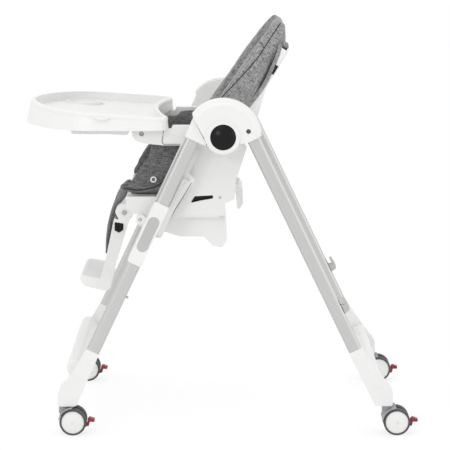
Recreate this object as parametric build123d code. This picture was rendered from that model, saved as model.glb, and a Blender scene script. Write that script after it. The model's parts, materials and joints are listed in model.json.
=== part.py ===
from build123d import *
import math
import os

# Layout in millimetres: the child faces -Y, +Z is up, X = 0 is the plane of symmetry, left is +X
PIVOT_Y, PIVOT_Z = 8.5, 639.0
FRONT_LEAN, REAR_LEAN = 25.2, 25.7
LEG_OFFSET = 55.0
LEG_X = 262.0
TUBE_DEPTH, TUBE_WIDTH, TUBE_WALL, TUBE_CORNER = 24.0, 28.8, 2.0, 8.0
LEG_END = -534.0
FRONT_LEG_TOP, REAR_LEG_TOP = -15.0, -33.0
GROOVE_WIDTH, GROOVE_DEPTH = 8.0, 0.8
SPIGOT = 42.0

# Hubs: an inner shell on the front legs and an outer cover on the rear legs, turning on an axle
HUB_R, HUB_FACE_R, HUB_CORE_R = 81.0, 67.0, 37.0
HUB_INNER_X, HUB_SPLIT_X, HUB_COVER_X, HUB_FACE_X, HUB_RING_X = 246.5, 264.0, 280.0, 286.0, 290.0
HUB_GAP, HUB_SLOT, SHOULDER = 0.3, 2.0, 6.0
AXLE_R, AXLE_HEAD_R, AXLE_END_X = 8.0, 12.0, 270.0
BUTTON_R, BUTTON_BASE_X, BUTTON_EDGE_X, BUTTON_TOP_X, BUTTON_WALL = 26.8, 276.0, 289.0, 297.5, 3.0

# Feet, crossbars and casters
FOOT_BOTTOM, FOOT_HALF, FOOT_TOP_HALF = 61.5, 16.0, 12.0
FOOT_TAPER_LOW, FOOT_TAPER_HIGH = 162.0, 176.0
BAR_WALL, BAR_ROUND = 3.0, 7.0
STEM_R, STEM_TOP, STEM_FIT = 5.5, 104.0, 0.05
FRONT_STEM_Y, REAR_STEM_Y = -332.0, 359.0
TRAIL, WHEEL_R, RIM_R, TREAD_ROUND = 20.0, 28.5, 24.3, 3.2
WHEEL_INNER, WHEEL_OUTER = 8.0, 26.0
HOOD_GAP, HOOD_THICK = 1.0, 2.0
CASTER_AXLE_R = 3.0

# Seat carriage: distances from the plane of symmetry
PLATE_INNER_X, PLATE_OUTER_X = 228.0, 236.0
SLEEVE_OUTER_X = 278.0
SLEEVE_TOP, SLEEVE_BOTTOM, SLEEVE_WALL, SLEEVE_FIT = -184.0, -324.5, 1.4, 0.3
ARM_INNER_X, ARM_OUTER_X = 203.0, 228.0
SHELL_X, SHELL_WALL, SHELL_FLOOR, SHELL_BOTTOM = 205.5, 4.5, 503.0, 462.0
BASE_X, BASE_WALL = 180.0, 4.0
WING_INNER_X, WING_OUTER_X = 178.0, 199.5

# Footrest
FOOTREST_Y, FOOTREST_Z, FOOTREST_HEAD_R = -204.0, 464.0, 19.5
FOOTREST_PIN_R, FOOTREST_SCREW_R = 4.0, 5.5
FOOT_ARM_INNER_X, FOOT_ARM_OUTER_X, TREAD_HALF, TREAD_CORNER = 146.0, 172.0, 116.0, 28.0

# Backrest: a frame that starts at the seat and leans back
RECLINE_Y, RECLINE_Z, RECLINE_PIN_R = 25.0, 540.0, 5.0
BACK_Y, BACK_Z, BACK_LEAN = -5.0, 569.0, 31.0
HANDLE_Y, HANDLE_Z, HANDLE_HALF, HANDLE_PIN_R = 43.0, 502.0, 70.0, 2.5
BACK_SHELL_HALF, BACK_SHELL_WALL, CUSHION_BACK = 150.0, 5.0, 3.2

# Harness
STRAP_LIFT, STRAP_THICK = 0.1, 1.9
BUCKLE_Y, BUCKLE_LENGTH = -70.0, 42.0

# Tray: a frame at the horn tips whose front edge rises
TRAY_Y, TRAY_Z, TRAY_RISE = -101.2, 676.0, 3.9
TRAY_SIDE, TRAY_CORNER_R, TRAY_CORNER_ANGLE, TRAY_CORNER_Y = 268.0, 120.0, 55.0, -155.0
TRAY_UNDERSIDE_Z, TRAY_FOOT, TRAY_DRAFT = 650.0, -49.0, 9.0
BASE_FLOOR, BASE_UNDER, LINER_FLOOR, LINER_UNDER = -22.0, -25.5, -19.0, -21.5
HORN_R, HORN_INNER, HOLLOW_DEPTH, LATCH_HALF = 35.0, 222.0, 25.0, 38.0
RIM_TALL, RIM_WALL, RIM_ROUND = 10.0, 3.0, 5.0
RIM_INSET = (-RIM_TALL - TRAY_FOOT) * math.tan(math.radians(TRAY_DRAFT))
LIP_Y, LIP_HALF, LIP_INNER, LIP_OUTER = -145.0, 17.5, 263.0, 267.0

FRONT_FRAME = Pos(0, PIVOT_Y, PIVOT_Z) * Rot(-FRONT_LEAN, 0, 0)
REAR_FRAME = Pos(0, PIVOT_Y, PIVOT_Z) * Rot(REAR_LEAN, 0, 0)
BACK_FRAME = Pos(0, BACK_Y, BACK_Z) * Rot(-BACK_LEAN, 0, 0)
TRAY_FRAME = Pos(0, TRAY_Y, TRAY_Z) * Rot(-TRAY_RISE, 0, 0)


def outline(points, radius=None):
    """Closed outline in (y, z), with every corner rounded when a radius is given."""
    if radius is None:
        return make_face(Polyline(*points, close=True))
    return make_face(FilletPolyline(*points, radius=radius, close=True))


def side_prism(face, x_low, x_high):
    """An outline drawn in (y, z), pulled along X."""
    return extrude(Plane.YZ.offset(x_low) * face, amount=x_high - x_low, dir=(1, 0, 0))


def front_prism(face, y_low, y_high):
    """An outline drawn in (x, z), pulled along Y."""
    return extrude(Plane(origin=(0, y_low, 0), x_dir=(1, 0, 0), z_dir=(0, -1, 0)) * face,
                   amount=y_high - y_low, dir=(0, 1, 0))


def plan_prism(face, z_low, z_high):
    """An outline drawn in (x, y), pulled along Z."""
    return extrude(Pos(0, 0, z_low) * face, amount=z_high - z_low, dir=(0, 0, 1))


def x_disc(radius, x_low, x_high, y=0.0, z=0.0):
    """A cylinder along X."""
    return Pos((x_low + x_high) / 2, y, z) * Rot(0, 90, 0) * Cylinder(radius, x_high - x_low)


def block(x_low, x_high, y_low, y_high, z_low, z_high):
    """A box given by its six faces."""
    centre = ((x_low + x_high) / 2, (y_low + y_high) / 2, (z_low + z_high) / 2)
    return Pos(*centre) * Box(x_high - x_low, y_high - y_low, z_high - z_low)


def other_side(part):
    """The same piece on the child's right."""
    return mirror(part, about=Plane.YZ)


def both_sides(part):
    """A left and a right solid in one node."""
    return Compound(children=[part, other_side(part)])


def tube_section(inset):
    """The leg's outline, drawn in by an inset."""
    return RectangleRounded(TUBE_DEPTH - 2 * inset, TUBE_WIDTH - 2 * inset, TUBE_CORNER - inset)


def leg(side, low, high):
    """A hollow extruded leg with a shallow groove down its outer face, in its own upright frame."""
    groove = Pos(TUBE_DEPTH / 2, 0) * Rectangle(2 * GROOVE_DEPTH, GROOVE_WIDTH)
    section = tube_section(0) - groove - tube_section(TUBE_WALL)
    return plan_prism(Pos(LEG_X, side * LEG_OFFSET) * section, low, high)


def leg_plug(side, low, high):
    """The plastic spigot that fills the end of a leg."""
    return plan_prism(Pos(LEG_X, side * LEG_OFFSET) * tube_section(TUBE_WALL), low, high)


def leg_corners(lean, side, along):
    """The front and rear side corners of a leg at a distance along it from the pivot, in (y, z)."""
    angle = math.radians(-lean if side < 0 else lean)
    corners = []
    for across in (-TUBE_WIDTH / 2, TUBE_WIDTH / 2):
        y = side * LEG_OFFSET + across
        corners.append((PIVOT_Y + y * math.cos(angle) - along * math.sin(angle),
                        PIVOT_Z + y * math.sin(angle) + along * math.cos(angle)))
    return corners


def hub_inner_shell():
    """Front hub: a fan-shaped plate over the pivot and a socket that takes the front leg."""
    fan = Circle(HUB_R - 3) & outline([(0, 0), (70, 100), (0, 140), (-140, 140), (-140, 50), (-58.4, 48), (-74.6, 13),
                                       (-70, 2)])
    plate = side_prism(Circle(HUB_CORE_R - 3) + fan, HUB_INNER_X, HUB_SPLIT_X)
    plate = Pos(0, PIVOT_Y, PIVOT_Z) * plate
    inner_socket = side_prism(outline([(-73, -33), (-33, -33), (-33, 18), (-73, 18)], 5), HUB_INNER_X, HUB_SPLIT_X)
    cheek = outline([(-73, -33), (-20, -33), (-37, -19), (-73, 8)], 3) - Circle(HUB_CORE_R + HUB_SLOT)
    outer_socket = side_prism(cheek, HUB_INNER_X, HUB_COVER_X)
    tube_hole = plan_prism(Pos(LEG_X, -LEG_OFFSET) * tube_section(0), REAR_LEG_TOP, FRONT_LEG_TOP)
    groove_key = block(LEG_X + TUBE_DEPTH / 2 - GROOVE_DEPTH, LEG_X + TUBE_DEPTH / 2,
                       -LEG_OFFSET - GROOVE_WIDTH / 2, -LEG_OFFSET + GROOVE_WIDTH / 2, REAR_LEG_TOP, FRONT_LEG_TOP)
    spigot = leg_plug(-1, FRONT_LEG_TOP - SPIGOT, FRONT_LEG_TOP)
    axle_hole = x_disc(AXLE_R, HUB_INNER_X, HUB_SPLIT_X, PIVOT_Y, PIVOT_Z)
    body = plate + FRONT_FRAME * (inner_socket + outer_socket) - FRONT_FRAME * tube_hole - axle_hole
    return body + FRONT_FRAME * (groove_key + spigot)


def hub_cover_outline():
    """What is left of the outer cover's disc above the two leg sockets."""
    inner, outer = leg_corners(REAR_LEAN, 1, REAR_LEG_TOP)
    neck_in = (inner[0] - PIVOT_Y, inner[1] - PIVOT_Z)
    neck_out = (outer[0] - PIVOT_Y, outer[1] - PIVOT_Z)
    past = (2 * neck_out[0] - neck_in[0], 2 * neck_out[1] - neck_in[1])
    kept = outline([(-69, 70), (-62.2, 38.7), (-40, -1), (-36, -14), (40, -14), neck_in, past,
                    (120, 120), (-69, 120)])
    return kept + Circle(HUB_CORE_R)


def hub_outer_cover():
    """Rear hub: a turned disc with a rounded shoulder and a raised face, a ring round the button, a leg spigot."""
    low = HUB_SPLIT_X + HUB_GAP
    rim = HUB_COVER_X - SHOULDER
    profile = [Line((low, 0), (low, HUB_R)), Line((low, HUB_R), (rim, HUB_R)),
               ThreePointArc((rim, HUB_R), (rim + 0.7 * SHOULDER, HUB_R - 0.3 * SHOULDER),
                             (HUB_COVER_X, HUB_R - SHOULDER)),
               Line((HUB_COVER_X, HUB_R - SHOULDER), (HUB_FACE_X, HUB_FACE_R)),
               Line((HUB_FACE_X, HUB_FACE_R), (HUB_FACE_X, 0)), Line((HUB_FACE_X, 0), (low, 0))]
    disc = revolve(make_face(profile), Axis.X) & side_prism(hub_cover_outline(), low, HUB_FACE_X)
    ring = x_disc(HUB_CORE_R - 2, HUB_FACE_X, HUB_RING_X)
    well = x_disc(BUTTON_R + HUB_GAP, AXLE_END_X, HUB_RING_X + 1)
    bore = x_disc(AXLE_R + STEM_FIT, HUB_SPLIT_X, AXLE_END_X)
    rivet = x_disc(5, HUB_FACE_X - 4, HUB_FACE_X, 53, 12)
    cover = Pos(0, PIVOT_Y, PIVOT_Z) * (disc + ring - well - bore - rivet)
    half = TUBE_WIDTH / 2
    neck_side = outline([(LEG_OFFSET - half, REAR_LEG_TOP), (LEG_OFFSET + half, REAR_LEG_TOP),
                         (LEG_OFFSET + half, 12), (LEG_OFFSET - half, 12)])
    neck = side_prism(neck_side, LEG_X - TUBE_DEPTH / 2, HUB_COVER_X)
    return cover + REAR_FRAME * (neck + leg_plug(1, REAR_LEG_TOP - SPIGOT, REAR_LEG_TOP))


def fold_axle():
    """The pin that joins the two hub halves, with its retaining head."""
    pin = x_disc(AXLE_R, HUB_INNER_X, AXLE_END_X + HUB_GAP, PIVOT_Y, PIVOT_Z)
    return pin + x_disc(AXLE_HEAD_R, AXLE_END_X + HUB_GAP, AXLE_END_X + 2.5, PIVOT_Y, PIVOT_Z)


def fold_button():
    """A hollow cap with a shallow spherical crown."""
    crown = BUTTON_TOP_X - BUTTON_EDGE_X
    sphere_r = (BUTTON_R ** 2 + crown ** 2) / (2 * crown)
    sphere = Pos(BUTTON_TOP_X - sphere_r, 0, 0) * Sphere(sphere_r)
    cap = sphere & x_disc(BUTTON_R, BUTTON_EDGE_X - BUTTON_WALL, BUTTON_TOP_X + 1)
    skirt = x_disc(BUTTON_R, BUTTON_BASE_X, BUTTON_EDGE_X) - x_disc(BUTTON_R - BUTTON_WALL, BUTTON_BASE_X,
                                                                    BUTTON_EDGE_X - BUTTON_WALL)
    return Pos(0, PIVOT_Y, PIVOT_Z) * (skirt + cap)


def foot(points, frame, side, stem_y):
    """A moulded foot: side outline, drawn in towards the leg, with a spigot above and a stem hole below."""
    flank = [(LEG_X - FOOT_HALF, 0), (LEG_X + FOOT_HALF, 0), (LEG_X + FOOT_HALF, FOOT_TAPER_LOW),
             (LEG_X + FOOT_TOP_HALF, FOOT_TAPER_HIGH), (LEG_X + FOOT_TOP_HALF, 260),
             (LEG_X - FOOT_TOP_HALF, 260), (LEG_X - FOOT_TOP_HALF, FOOT_TAPER_HIGH),
             (LEG_X - FOOT_HALF, FOOT_TAPER_LOW)]
    body = side_prism(points, LEG_X - FOOT_HALF, LEG_X + FOOT_HALF) & front_prism(outline(flank), -500, 500)
    spigot = frame * leg_plug(side, LEG_END, LEG_END + SPIGOT)
    stem_hole = Pos(LEG_X, stem_y, (FOOT_BOTTOM + STEM_TOP) / 2) * Cylinder(STEM_R + STEM_FIT, STEM_TOP - FOOT_BOTTOM)
    return body + spigot - stem_hole


def front_foot():
    """The toe swells forward over the caster stem."""
    toe, heel = leg_corners(FRONT_LEAN, -1, LEG_END)
    wire = [Line(heel, (-302, 68)), ThreePointArc((-302, 68), (-306, 62.5), (-312, FOOT_BOTTOM)),
            Line((-312, FOOT_BOTTOM), (-340, FOOT_BOTTOM)),
            ThreePointArc((-340, FOOT_BOTTOM), (-342.8, 62.7), (-344, 65.5)),
            Line((-344, 65.5), (-344, 84)), ThreePointArc((-344, 84), (-341, 97), (-326, 113)),
            Line((-326, 113), toe), Line(toe, heel)]
    return foot(make_face(wire), FRONT_FRAME, -1, FRONT_STEM_Y)


def rear_foot():
    """The mirror of the front foot's idea, swelling to the rear."""
    toe, heel = leg_corners(REAR_LEAN, 1, LEG_END)
    wire = [Line(toe, (330, 69)), ThreePointArc((330, 69), (334, 63.5), (341, FOOT_BOTTOM)),
            Line((341, FOOT_BOTTOM), (366, FOOT_BOTTOM)),
            ThreePointArc((366, FOOT_BOTTOM), (368.8, 62.7), (370, 65.5)),
            Line((370, 65.5), (370, 90)), ThreePointArc((370, 90), (367, 101), (358, 110)),
            Line((358, 110), heel), Line(heel, toe)]
    return foot(make_face(wire), REAR_FRAME, 1, REAR_STEM_Y)


def crossbar(y, z, height, depth, lean):
    """A hollow oval bar between two feet, closed and rounded at its ends."""
    reach = LEG_X - FOOT_HALF
    bar = side_prism(SlotOverall(height, depth, rotation=90 + lean), -reach, reach)
    ends = bar.faces().filter_by(Axis.X)
    bar = fillet([edge for end in ends for edge in end.edges()], BAR_ROUND)
    bore = SlotOverall(height - 2 * BAR_WALL, depth - 2 * BAR_WALL, rotation=90 + lean)
    return Pos(0, y, z) * (bar - side_prism(bore, -reach + 2 * BAR_WALL, reach - 2 * BAR_WALL))


def tray_hook():
    """A peg with a rounded upturned end on the back of the rear leg."""
    back = LEG_OFFSET + TUBE_WIDTH / 2
    hook = outline([(back, -453), (back + 12, -450), (back + 15, -440), (back + 13, -420), (back + 8, -420),
                    (back + 8, -436), (back, -432)], 1.5)
    return REAR_FRAME * side_prism(hook, LEG_X - 7, LEG_X + 7)


def caster_fork():
    """Stem, collar, hood over the front of the wheels and two cheeks that carry the axle; stem on Z."""
    stem = Pos(0, 0, (WHEEL_R + STEM_TOP) / 2 + 12) * Cylinder(STEM_R, STEM_TOP - WHEEL_R - 24)
    collar = Pos(0, 0, 53) * Cylinder(11, 16)
    inner = WHEEL_R + HOOD_GAP
    fan = outline([(0, 0), (-4, 80), (-80, 60), (-80, 14)])
    hood_face = (Circle(inner + HOOD_THICK) - Circle(inner)) & fan
    hood = side_prism(Pos(TRAIL, WHEEL_R) * hood_face, -WHEEL_OUTER, WHEEL_OUTER)
    cheek_face = outline([(TRAIL + 6, WHEEL_R - 7), (TRAIL + 8, WHEEL_R + 5), (TRAIL - 2, 58), (-6, 58),
                          (-9, 44), (TRAIL - 7, WHEEL_R - 6)], 3)
    cheeks = side_prism(cheek_face, 3, 6.5) + side_prism(cheek_face, -6.5, -3)
    web = side_prism(outline([(-9, 44), (-6, 58), (6, 58), (2, 44)]), -6.5, 6.5)
    room = x_disc(inner, WHEEL_INNER - HOOD_GAP, WHEEL_OUTER + 1, TRAIL, WHEEL_R)
    body = collar + hood + cheeks + web - room - other_side(room)
    return body + stem - x_disc(CASTER_AXLE_R + STEM_FIT, -8, 8, TRAIL, WHEEL_R)


def caster_tyres():
    """Two soft rings with rounded treads."""
    profile = outline([(WHEEL_INNER, RIM_R), (WHEEL_OUTER, RIM_R), (WHEEL_OUTER, WHEEL_R), (WHEEL_INNER, WHEEL_R)])
    tread = profile.vertices().sort_by(Axis.Y)[-2:]
    ring = Pos(0, TRAIL, WHEEL_R) * revolve(fillet(tread, TREAD_ROUND), Axis.X)
    return Compound(children=[ring, other_side(ring)])


def caster_discs():
    """Two dished wheel discs pressed on one axle."""
    profile = outline([(WHEEL_INNER, CASTER_AXLE_R), (WHEEL_OUTER + 1, CASTER_AXLE_R), (WHEEL_OUTER + 1, 4),
                       (WHEEL_OUTER - 0.5, 17), (WHEEL_OUTER - 1.5, RIM_R), (WHEEL_INNER + 1, RIM_R),
                       (WHEEL_INNER + 1, 17), (WHEEL_OUTER - 8, 15), (WHEEL_OUTER - 7, 7), (WHEEL_INNER, 6)])
    disc = Pos(0, TRAIL, WHEEL_R) * revolve(profile, Axis.X)
    axle = x_disc(CASTER_AXLE_R, -WHEEL_OUTER, WHEEL_OUTER, TRAIL, WHEEL_R)
    return Compound(children=[disc, other_side(disc), axle])


def caster_brake():
    """A stepped pedal behind the wheels on an arm that turns on the axle."""
    arm = x_disc(8, -2.6, 2.6)
    arm += side_prism(outline([(0, -8), (24, -15), (31, -12), (29, -5), (6, 5)]), -2.6, 2.6)
    step = outline([(24.5, -14), (33.5, -11), (35.5, -2.5), (45.3, -3), (46.1, 3), (34.5, 7), (31, 3.5), (29.5, -4.5),
                    (25, -9)], 1.2)
    pedal = side_prism(step, -7, 7)
    return Pos(0, TRAIL, WHEEL_R) * (arm + pedal - x_disc(CASTER_AXLE_R + STEM_FIT, -3, 3))


def slider():
    """Sleeve round the front leg, a pocket for its insert, and the side plate that carries the seat."""
    half = TUBE_WIDTH / 2 + SLEEVE_FIT + SLEEVE_WALL
    sleeve_side = RectangleRounded(2 * half, SLEEVE_TOP - SLEEVE_BOTTOM, 3)
    middle = (SLEEVE_TOP + SLEEVE_BOTTOM) / 2
    sleeve = side_prism(Pos(-LEG_OFFSET, middle) * sleeve_side, PLATE_OUTER_X, SLEEVE_OUTER_X)
    passage = plan_prism(Pos(LEG_X, -LEG_OFFSET) * tube_section(-SLEEVE_FIT), SLEEVE_BOTTOM - 1, SLEEVE_TOP + 1)
    pocket = side_prism(insert_outline(), SLEEVE_OUTER_X - 1.5, SLEEVE_OUTER_X)
    plate_side = outline([(-72, -52), (-31, -52), (-31, -106), (-13, -110), (-20, -158), (-25, -200), (-25.5, -257),
                          (-40, -260), (-40, -322), (-72, -322)], 7)
    plate = side_prism(plate_side, PLATE_INNER_X, PLATE_OUTER_X)
    return FRONT_FRAME * (sleeve + plate - passage - pocket)


def insert_outline():
    """The pill-shaped insert of the sleeve."""
    return Pos(-LEG_OFFSET, (SLEEVE_TOP + SLEEVE_BOTTOM) / 2) * SlotOverall(80, 24, rotation=90)


def slider_insert():
    """A soft pill, slightly proud of its pocket."""
    return FRONT_FRAME * side_prism(insert_outline(), SLEEVE_OUTER_X - 1.5, SLEEVE_OUTER_X + 0.6)


def height_lever():
    """A long trigger on the outside of the plate, behind the leg."""
    body = side_prism(Pos(-32, -186) * SlotOverall(136, 13, rotation=90), PLATE_OUTER_X + HUB_GAP, 245.2)
    grip = side_prism(Pos(-32, -128) * Circle(4), 244, 245.2)
    return FRONT_FRAME * (body - grip)


def armrest():
    """Armrest block with a hooked underside and the long tongue that the tray slides on."""
    edge = [(-317, 649.5), (-315, 646), (-207, 637.5), (-195, 637.5), (-191.5, 641), (-191, 646), (-184.5, 646),
            (-183.5, 636), (-177, 626), (-159, 619.5), (-118, 615.5), (-34, 615.5), (-34, 657), (-98, 657),
            (-102, 649.5)]
    body = side_prism(outline(edge), ARM_INNER_X, ARM_OUTER_X)
    hidden_seam = block(ARM_OUTER_X - 0.8, ARM_OUTER_X, -119, -118, 615, 649.5)
    screw_hole = x_disc(5, ARM_OUTER_X - 4, ARM_OUTER_X, -164, 640)
    return body - hidden_seam - screw_hole


def seat_shell():
    """Open bucket: ribbed floor, side walls with a hand opening, bosses to the sliders, lugs for the footrest."""
    side = outline([(-199, 503), (-199, 480), (-186, 467), (-150, SHELL_BOTTOM), (12, SHELL_BOTTOM), (13, 488),
                    (33, 498), (36, 538), (60, 611), (56, 614), (-56, 614), (-94, 530), (-112, 503)], 3)
    body = side_prism(side, -SHELL_X, SHELL_X)
    inside = SHELL_X - SHELL_WALL
    body -= block(-inside, inside, -260, 90, SHELL_FLOOR, 700)
    body += side_prism(outline([(24, 497), (31, 499), (34, 522), (28, 522)]), -inside, inside)
    under = outline([(-194, 498), (-194, 482), (-183, 472), (-149, SHELL_BOTTOM - 5), (7, SHELL_BOTTOM - 5),
                     (8, 492), (20, 498)])
    body -= side_prism(under, -inside, inside)
    for rib_x in (-90, 0, 90):
        body += block(rib_x - 1.5, rib_x + 1.5, -180, 10, 470, 499)
    window = outline([(-62, 489), (-52, 504), (-13, 506), (-13, 499), (-41, 494)], 2)
    for boss_y, boss_z, boss_r in ((-58, 591, 8), (-66, 538, 11), (-166, 456, 11)):
        boss = x_disc(boss_r, inside + 1, PLATE_INNER_X, boss_y, boss_z)
        body += boss + other_side(boss)
    lug = outline([(-218, 456), (-212, 450), (-196, 450), (-182, 472), (-182, 499), (-198, 499), (-218, 474)], 6)
    head_room = x_disc(FOOTREST_HEAD_R + 1.5, FOOT_ARM_INNER_X - 2, FOOT_ARM_OUTER_X + 2, FOOTREST_Y, FOOTREST_Z)
    pin_hole = x_disc(FOOTREST_PIN_R, 130, FOOT_ARM_INNER_X, FOOTREST_Y, FOOTREST_Z)
    recline_pin = x_disc(RECLINE_PIN_R, 178, inside + 1, RECLINE_Y, RECLINE_Z)
    cheek = side_prism(lug, 136, FOOT_ARM_INNER_X - 0.5) - pin_hole
    cut = side_prism(window, inside - 1, SHELL_X + 1) + head_room
    body = body - cut - other_side(cut)
    ear = side_prism(outline([(24, 490), (HANDLE_Y + 5, HANDLE_Z - 4), (HANDLE_Y + 5, HANDLE_Z + 4), (30, 516)], 3),
                     HANDLE_HALF + HUB_GAP, HANDLE_HALF + 6)
    ear += x_disc(HANDLE_PIN_R, HANDLE_HALF - 16, HANDLE_HALF + 6, HANDLE_Y, HANDLE_Z)
    added = cheek + recline_pin + ear
    return body + added + other_side(added)


def seat_base():
    """Lower housing with a rounded tail, open above, flanged to the underside of the shell."""
    side = outline([(-150, SHELL_BOTTOM), (-118, 424), (-84, 413), (-33, 413), (-14, 393), (6, 389), (17, 404),
                    (13, 440), (12, SHELL_BOTTOM)], 6)
    hollow = outline([(-140, SHELL_BOTTOM + 1), (-113, 429), (-82, 417.5), (-31, 417.5), (-12, 398), (5, 394),
                      (12, 405), (8, 440), (7, SHELL_BOTTOM + 1)], 4)
    tub = side_prism(side, -BASE_X, BASE_X) - side_prism(hollow, -BASE_X + BASE_WALL, BASE_X - BASE_WALL)
    flange = block(-SHELL_X + 2, SHELL_X - 2, -145, 0, SHELL_BOTTOM - 4, SHELL_BOTTOM)
    opening = block(-BASE_X + BASE_WALL, BASE_X - BASE_WALL, -138, -2, SHELL_BOTTOM - 5, SHELL_BOTTOM + 1)
    return tub + flange - opening


def cushion_pad():
    """Seat pad: crowned on top, narrower at its middle, thin at its front edge."""
    stations = [(-198, 504, 507, 148, 1), (-194, 504, 513, 158, 2), (-170, 504, 529, 168, 5), (-90, 504, 536, 163, 7),
                (-30, 504, 535, 168, 6), (-14, 505, 530, 166, 3)]
    sections = []
    for y, low, high, half, crown in stations:
        middle = (low + high) / 2
        wire = [Line((-half + 4, low), (half - 4, low)),
                ThreePointArc((half - 4, low), (half, middle), (half - 4, high)),
                ThreePointArc((half - 4, high), (0, high + crown), (-half + 4, high)),
                ThreePointArc((-half + 4, high), (-half, middle), (-half + 4, low))]
        sections.append(Plane(origin=(0, y, 0), x_dir=(1, 0, 0), z_dir=(0, -1, 0)) * make_face(wire))
    return loft(sections)


def cushion_apron():
    """The cover's fold over the front edge of the shell, above the calf pad."""
    fold = make_face([Line((-199.6, 491), (-199.6, 511)), ThreePointArc((-199.6, 511), (-217, 507), (-228, 490)),
                      Line((-228, 490), (-222, 488)), ThreePointArc((-222, 488), (-213, 495), (-199.6, 491))])
    return side_prism(fold, -134, 134)


def cushion_wing():
    """Side wing: rounded front, a flat top below the tray and a raised back part."""
    wing = outline([(-188, 505), (-211, 511), (-217, 522), (-209, 532), (-193, 535), (-172, 570), (-159, 588),
                    (-140, 634), (-122, 645), (-98, 646), (-88, 656), (-44, 658), (-15, 640), (-9, 570), (-9, 504)], 5)
    return side_prism(wing, WING_INNER_X, WING_OUTER_X)


def seat_cushion(pad):
    """Pad, front fold and two wings, sewn side by side."""
    wing = cushion_wing()
    return Compound(children=[pad, cushion_apron(), wing, other_side(wing)])


def back_section(half, rear, front, middle, tip):
    """One cross-section of the bucket backrest in (x, n): n points at the child."""
    inner = half - 2 * tip
    return make_face([
        ThreePointArc((-half + 6, rear), (0, rear - 3), (half - 6, rear)),
        Line((half - 6, rear), (half, rear + 10)),
        Line((half, rear + 10), (half, front - tip)),
        ThreePointArc((half, front - tip), (half - tip, front), (inner, front - tip)),
        Line((inner, front - tip), (inner - 8, middle)),
        ThreePointArc((inner - 8, middle), (0, middle - 3), (-inner + 8, middle)),
        Line((-inner + 8, middle), (-inner, front - tip)),
        ThreePointArc((-inner, front - tip), (-half + tip, front), (-half, front - tip)),
        Line((-half, front - tip), (-half, rear + 10)),
        Line((-half, rear + 10), (-half + 6, rear)),
    ])


def back_cushion_form():
    """The bucket cushion in the backrest's own frame, lofted from its foot to its head."""
    stations = [(4, 146, 2, 46, 30, 8), (50, 160, 0, 76, 30, 14), (102, 168, 1, 79, 31, 14), (200, 164, 1, 71, 31, 13),
                (260, 157, 6, 65, 36, 12), (300, 145, 10, 59, 41, 9), (326, 122, 24, 51, 44, 5)]
    sections = []
    for along, half, rear, front, middle, tip in stations:
        plane = Plane(origin=(0, 0, along), x_dir=(1, 0, 0), z_dir=(0, 0, 1))
        section = back_section(half, rear, front, middle, tip)
        sections.append(plane * mirror(section, about=Plane.XZ))
    return loft(sections) - block(-200, 200, CUSHION_BACK, 40, 0, 340)


def backrest_shell():
    """Back shell: a thin smooth skin, deeper below, braced by two ribs, with arms that turn on the recline pins."""
    side = outline([(3.5, 290), (3.5, 20), (22, 12), (34, 30), (31, 84), (23, 136), (8, 190), (8, 280), (6, 290)])
    body = side_prism(side, -BACK_SHELL_HALF, BACK_SHELL_HALF)
    hollow = outline([(2, 24), (20, 18), (30.5, 32), (28, 83), (20, 134), (5.5, 182), (2, 182)])
    bay = (2 * BACK_SHELL_HALF - 4 * BACK_SHELL_WALL) / 3
    for number in range(3):
        bay_low = -BACK_SHELL_HALF + BACK_SHELL_WALL + number * (bay + BACK_SHELL_WALL)
        body -= side_prism(hollow, bay_low, bay_low + bay)
    body = BACK_FRAME * body
    arm = outline([(RECLINE_Y - 12, RECLINE_Z - 6), (RECLINE_Y - 6, RECLINE_Z - 12), (RECLINE_Y + 8, RECLINE_Z - 10),
                   (RECLINE_Y + 14, RECLINE_Z + 10), (58, 620), (40, 620), (RECLINE_Y - 10, RECLINE_Z + 12)], 4)
    lug = side_prism(arm, 180, 186) - x_disc(RECLINE_PIN_R + STEM_FIT, 178, 187, RECLINE_Y, RECLINE_Z)
    bridge = BACK_FRAME * block(BACK_SHELL_HALF - 1, 186, 8, 26, 30, 72)
    return body + bridge + other_side(bridge) + lug + other_side(lug)


def shoulder_straps(cushion):
    """Two flat webbings that lie in the hollow of the backrest."""
    width = block(38, 63, -60, -20, 60, 236)
    strap = (Pos(0, -STRAP_THICK, 0) * cushion & width) - (Pos(0, -STRAP_LIFT, 0) * cushion & width)
    return both_sides(BACK_FRAME * strap)


def seat_straps(pad):
    """Crotch and lap webbing lying on the seat pad."""
    skin = Pos(0, 0, STRAP_THICK) * pad - Pos(0, 0, STRAP_LIFT) * pad
    crotch = skin & block(-13, 13, -150, BUCKLE_Y - BUCKLE_LENGTH / 2, 530, 560)
    lap = skin & block(62, 150, -46, -24, 530, 560)
    return Compound(children=[crotch, lap, other_side(lap)])


def harness_buckle(pad):
    """Flat buckle lying on the pad at the end of the crotch strap."""
    shape = RectangleRounded(48, BUCKLE_LENGTH, 10)
    return plan_prism(Pos(0, BUCKLE_Y) * shape, 536, 556) - Pos(0, 0, STRAP_LIFT) * pad


def recline_handle():
    """A hollow paddle behind the seat with a barrel along its upper edge."""
    paddle = outline([(36, 506), (44, 508), (52, 500), (53, 470), (46, 457), (40, 458), (38, 480)], 3)
    body = side_prism(paddle, -HANDLE_HALF, HANDLE_HALF)
    body -= side_prism(outline([(42, 494), (47, 492), (48, 472), (43, 464)]), -HANDLE_HALF + 6, HANDLE_HALF - 6)
    return body - x_disc(HANDLE_PIN_R + STEM_FIT, -HANDLE_HALF - 1, HANDLE_HALF + 1, HANDLE_Y, HANDLE_Z)


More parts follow.
